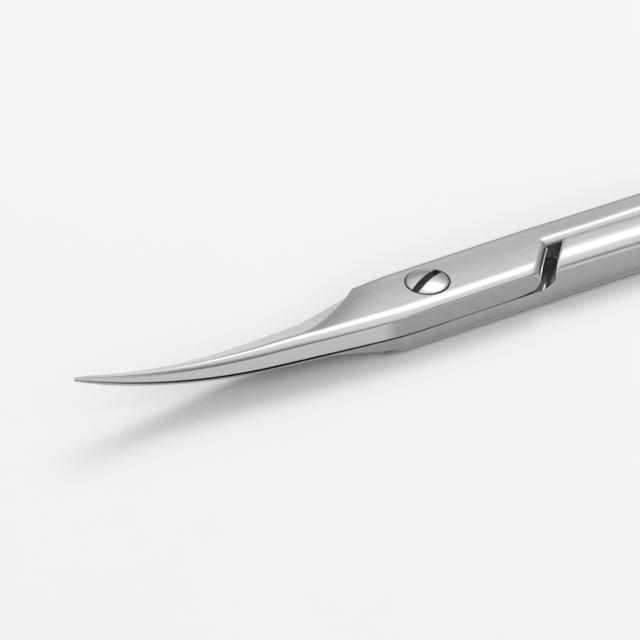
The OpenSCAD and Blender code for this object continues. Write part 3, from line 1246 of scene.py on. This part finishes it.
@dataclass(frozen=True)
class SatinSteel(Finish):
    """Stainless steel of the halves: brushed along the length, with finer ground facets and turned seats, and with
    shade painted on the walls and along the crease below the band.

    Lengths of grain are in millimetres, heights of grain in micrometres and clouds in waves for each metre.
    """

    name: str = "satin_stainless_steel"
    dull: Color = (0.625, 0.625, 0.63, 1.0)
    bright: Color = (0.665, 0.665, 0.665, 1.0)
    honed: Color = (0.54, 0.54, 0.545, 1.0)
    painted_crease_shade: Color = (0.12, 0.12, 0.12, 1.0)
    painted_wall_shade: Color = (0.37, 0.37, 0.375, 1.0)
    crease_shade: float = 0.85
    grain_across: float = 0.09
    grain_along: float = 2.4
    grain_height: float = 0.16
    clouds: Point = (260.0, 420.0, 420.0)
    tone_run: Run = (0.32, 0.68)
    roughness: float = 0.28
    roughness_spread: float = 0.05
    ground_roughness: float = 0.21
    ground_spread: float = 0.05
    turned_run: Run = (1.74, 1.77)
    turned_waves: float = 62.0

    def surface(self, g: Graph) -> Inputs:
        """Works out the shader's inputs.

        Args:
            g: The graph that takes the nodes.

        Returns:
            The inputs by name.
        """
        across, along = 1 / (self.grain_across * MM), 1 / (self.grain_along * MM)
        grain = g.stretched((along, across, across), 2.0, 0.6)
        streak = g.stretched((along * 0.4, across * 0.3, across * 0.3), 3.0, 0.55)
        cloud = g.stretched(self.clouds)
        hone = g.stretched((across, along, along), 2.0, 0.6)
        ground, r = g.mark("ground"), g.radius()
        turned = 1 - r.ramp(*self.turned_run)
        lay = grain * (1 - ground) + hone * ground
        lay = lay * (1 - turned) + (r * self.turned_waves).wave() * turned
        tone = (streak * 0.55 + cloud * 0.45).ramp(*self.tone_run)
        colour = g.blend(ground, g.blend(tone, self.dull, self.bright), self.honed)
        # Painted shade: darkens the walls of the lap and shank that carry the "side" mark.
        colour = g.blend(g.mark("side"), colour, self.painted_wall_shade)
        # Painted shade: a dark line along the crease between the band and the near face.
        colour = g.blend(g.mark("line") * self.crease_shade, colour, self.painted_crease_shade)
        plain = (streak * 0.6 + grain * 0.4 - 0.5) * self.roughness_spread + self.roughness
        honed = (hone - 0.5) * self.ground_spread + self.ground_roughness
        rough = plain * (1 - ground) + honed * ground
        bump = g.bump(lay, self.grain_height)
        return {"Base Color": colour, "Metallic": 1.0, "Roughness": rough, "Normal": bump}


@dataclass(frozen=True)
class PolishedSteel(Finish):
    """Steel of the screw: turned, polished on the dome and scuffed by screwdrivers around the slot, with shade
    painted into the slot.

    Lengths are in millimetres, heights of rings in micrometres, and wear and specks in waves for each metre.
    """

    name: str = "polished_screw_steel"
    dull: Color = (0.56, 0.56, 0.565, 1.0)
    bright: Color = (0.72, 0.72, 0.72, 1.0)
    painted_slot_shade: Color = (0.16, 0.16, 0.16, 1.0)
    roughness: float = 0.16
    scuff_roughness: float = 0.12
    speck_roughness: float = 0.05
    slot_roughness: float = 0.25
    wear_scale: float = 2600.0
    wear_run: Run = (0.4, 0.7)
    speck_scale: float = 9000.0
    ring_pitch: float = 0.09
    ring_height: float = 0.25
    slot_angle: float = Sizes.slot_angle
    slot_w: float = Sizes.slot_w
    slot_soft: float = 0.02
    slot_floor: Run = (3.05, 3.08)

    def surface(self, g: Graph) -> Inputs:
        """Works out the shader's inputs.

        Args:
            g: The graph that takes the nodes.

        Returns:
            The inputs by name.
        """
        rings = (g.radius() * (2 * math.pi / self.ring_pitch)).wave()
        wear = g.stretched((self.wear_scale,) * 3, 3.0, 0.6).ramp(*self.wear_run)
        specks = g.stretched((self.speck_scale,) * 3, 2.0, 0.6)
        x, y, z = g.axes()
        turn, half = math.radians(self.slot_angle), self.slot_w / 2
        across = y * math.cos(turn) - x * math.sin(turn)
        beside = (across * across).ramp((half - self.slot_soft) ** 2, (half + self.slot_soft) ** 2)
        slot = (1 - beside) * z.ramp(*self.slot_floor)
        colour = g.blend(wear * 0.5 + specks * 0.3, self.bright, self.dull)
        # Painted shade: darkens the slot where its depth lies in shade; slot_roughness gives its milled surface.
        colour = g.blend(slot, colour, self.painted_slot_shade)
        rough = wear * self.scuff_roughness + self.roughness
        rough = rough + (specks - 0.5) * self.speck_roughness + slot * self.slot_roughness
        bump = g.bump(rings * 0.6 + specks * 0.4, self.ring_height)
        return {"Base Color": colour, "Metallic": 1.0, "Roughness": rough, "Normal": bump}


@dataclass(frozen=True)
class PaleBoard(Finish):
    """The matt, pale board that the scissors lie on, with a tooth in waves for each metre."""

    name: str = "pale_board"
    low: Color = (0.525, 0.525, 0.525, 1.0)
    high: Color = (0.535, 0.535, 0.535, 1.0)
    tooth_scale: float = 90.0
    roughness: float = 0.7
    specular: float = 0.2

    def surface(self, g: Graph) -> Inputs:
        """Works out the shader's inputs, by name."""
        colour = g.blend(g.stretched((self.tooth_scale,) * 3, 3.0), self.low, self.high)
        return {"Base Color": colour, "Roughness": self.roughness, "Specular IOR Level": self.specular}


@dataclass
class Studio:
    """The board, the soft light and the camera at the photograph's angle.

    Angles are in degrees and lengths in metres; heading is the direction of view from +Y towards +X. The sky's
    brightness rises from low to high over a run of heights, with runs and levels of its own behind the scissors.
    """

    elevation: float = 34.54
    heading: float = 30.4
    distance: float = 0.6
    pixels_per_mm: float = 13.6
    aim_right: float = 107.4
    aim_up: float = 38.6
    aim_height: float = 0.0038
    image_width: float = 640.0
    sensor_w: float = 36.0
    clip: Run = (0.02, 50.0)
    board_size: float = 6.0
    key_direction: Point = (0.369, 0.399, 0.838)
    key_distance: float = 0.5
    key_size: float = 0.3
    key_power: float = 1.45
    fill_elevation: float = 35.0
    fill_distance: float = 1.2
    fill_size: float = 1.2
    fill_power: float = 10.0
    glow_direction: Point = (0.42, 0.2, 0.89)
    glow_run: Run = (0.9, 1.0)
    behind_run: Run = (-0.3, 0.3)
    sky_rise: Run = (0.2, 0.6)
    sky_low: float = 0.26
    sky_high: float = 1.0
    behind_rise: Run = (0.28, 0.76)
    behind_low: float = 0.14
    behind_high: float = 0.05
    board: PaleBoard = field(default_factory=PaleBoard)

    def axes(self) -> tuple[Vector, Vector, Vector]:
        """Works out how the camera stands.

        Returns:
            Its right, up and viewing directions.
        """
        e, t = math.radians(self.elevation), math.radians(self.heading)
        right = Vector((math.cos(t), -math.sin(t), 0.0))
        ahead = Vector((math.sin(t) * math.cos(e), math.cos(t) * math.cos(e), -math.sin(e)))
        return right, right.cross(ahead), ahead

    def place_camera(self) -> None:
        """Makes the camera."""
        right, up, ahead = self.axes()
        step = MM / self.pixels_per_mm
        aim = Vector((0.0, 0.0, self.aim_height))
        place = aim - right * self.aim_right * step - up * self.aim_up * step - ahead * self.distance
        data = bpy.data.cameras.new("studio_camera")
        data.sensor_width = self.sensor_w
        data.lens = data.sensor_width * self.distance / (self.image_width * step)
        data.clip_start, data.clip_end = self.clip
        camera = add_object("studio_camera", data)
        camera.matrix_world = Matrix.Translation(place) @ Matrix((right, up, -ahead)).transposed().to_4x4()
        bpy.context.scene.camera = camera

    def lay_board(self) -> None:
        """Makes the floor."""
        bm = bmesh.new()
        bmesh.ops.create_grid(bm, x_segments=2, y_segments=2, size=self.board_size / 2)
        floor = add_mesh(bm, "board")
        floor.data.materials.append(self.board.material())
        floor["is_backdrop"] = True

    def hang_softbox(self, name: str, direction: Vector, distance: float, size: float, power: float) -> None:
        """Hangs a round softbox that lights the board but doesn't mirror in the steel.

        Args:
            name: Name of the light.
            direction: Direction of the light from the pivot.
            distance: Its distance in metres.
            size: Its diameter in metres.
            power: Its power in watts.
        """
        data = bpy.data.lights.new(name, "AREA")
        data.shape, data.size, data.energy = "DISK", size, power
        light = add_object(name, data)
        turn = direction.to_track_quat("Z", "Y").to_matrix().to_4x4()
        light.matrix_world = Matrix.Translation(direction.normalized() * distance) @ turn
        light.visible_glossy = False

    def hang_lights(self) -> None:
        """Makes the soft key light and the fill from the front."""
        heading, e = math.radians(self.heading), math.radians(self.fill_elevation)
        front = Vector((-math.sin(heading) * math.cos(e), -math.cos(heading) * math.cos(e), math.sin(e)))
        key = Vector(self.key_direction)
        self.hang_softbox("key_softbox", key, self.key_distance, self.key_size, self.key_power)
        self.hang_softbox("fill_softbox", front, self.fill_distance, self.fill_size, self.fill_power)

    def light_room(self) -> None:
        """Makes the light of the room, which the steel mirrors."""
        world = bpy.data.worlds.new("soft_room")
        world.use_nodes = True
        bpy.context.scene.world = world
        g, heading = Graph(world.node_tree), math.radians(self.heading)
        x, y, z = g.axes("Generated", 1.0)
        behind = (x * math.sin(heading) + y * math.cos(heading)).ramp(*self.behind_run)
        rise = z.ramp(*self.behind_rise) * behind + z.ramp(*self.sky_rise) * (1 - behind)
        low, high = behind * self.behind_low + self.sky_low, self.sky_high - behind * self.behind_high
        kx, ky, kz = Vector(self.glow_direction).normalized()
        glow = (x * kx + y * ky + z * kz).ramp(*self.glow_run)
        power = low * (1 - rise) + high * rise + glow
        light = g.node("ShaderNodeBackground", None, {"Color": (1.0, 1.0, 1.0, 1.0), "Strength": power})
        g.node("ShaderNodeOutputWorld", None, {"Surface": light.outputs[0]})

    def build(self) -> None:
        """Builds the whole studio."""
        self.place_camera()
        self.lay_board()
        self.hang_lights()
        self.light_room()
        bpy.context.scene.view_settings.view_transform = "Standard"


@dataclass
class CuticleScissors:
    """The whole pair: two halves and their screw."""

    sizes: Sizes
    steel: SatinSteel = field(default_factory=SatinSteel)
    screw_steel: PolishedSteel = field(default_factory=PolishedSteel)

    def pieces(self) -> Iterator[tuple[Object, str, str]]:
        """Builds the pieces one by one.

        Yields:
            Each piece, the node that it replaces and the body that it rides on.
        """
        # The lower half's walls get a little less painted shade.
        lower = Half(self.sizes, Side.LOWER, far_shoulder=(0.85, 0.48), round_r=0.25, leave=4.0, wall_shade=0.8)
        for half, body in ((lower, "lower"), (Half(self.sizes, Side.UPPER), "upper")):
            yield half.build(), half.name, body
        yield PivotScrew(self.sizes).build(), "pivot_screw", "screw"

    def build(self, nodes: dict[str, Object]) -> None:
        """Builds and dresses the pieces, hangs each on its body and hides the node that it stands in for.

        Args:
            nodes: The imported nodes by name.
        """
        steel, screw_steel = self.steel.material(), self.screw_steel.material()
        for piece, node, body in self.pieces():
            finish = screw_steel if body == "screw" else steel
            for dressed in (piece, nodes[node]):
                dressed.data.materials.clear()
                dressed.data.materials.append(finish)
            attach(piece, body)
            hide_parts(node)
            LOG.info("%s: %d faces on %s", piece.name, len(piece.data.polygons), body)


def main() -> None:
    """Builds the studio and the scissors, with the blade and handle lengths taken from the imported model's box.
    """
    logging.basicConfig(level=logging.INFO, format="%(name)s: %(message)s")
    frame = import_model()
    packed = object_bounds()
    Studio().build()
    LOG.info("studio built")
    sizes = Sizes(blade_len=round(-packed[0].x / MM, 3), handle_len=round(packed[1].x / MM, 3))
    CuticleScissors(sizes).build(frame["nodes"])


if __name__ == "__main__":
    main()
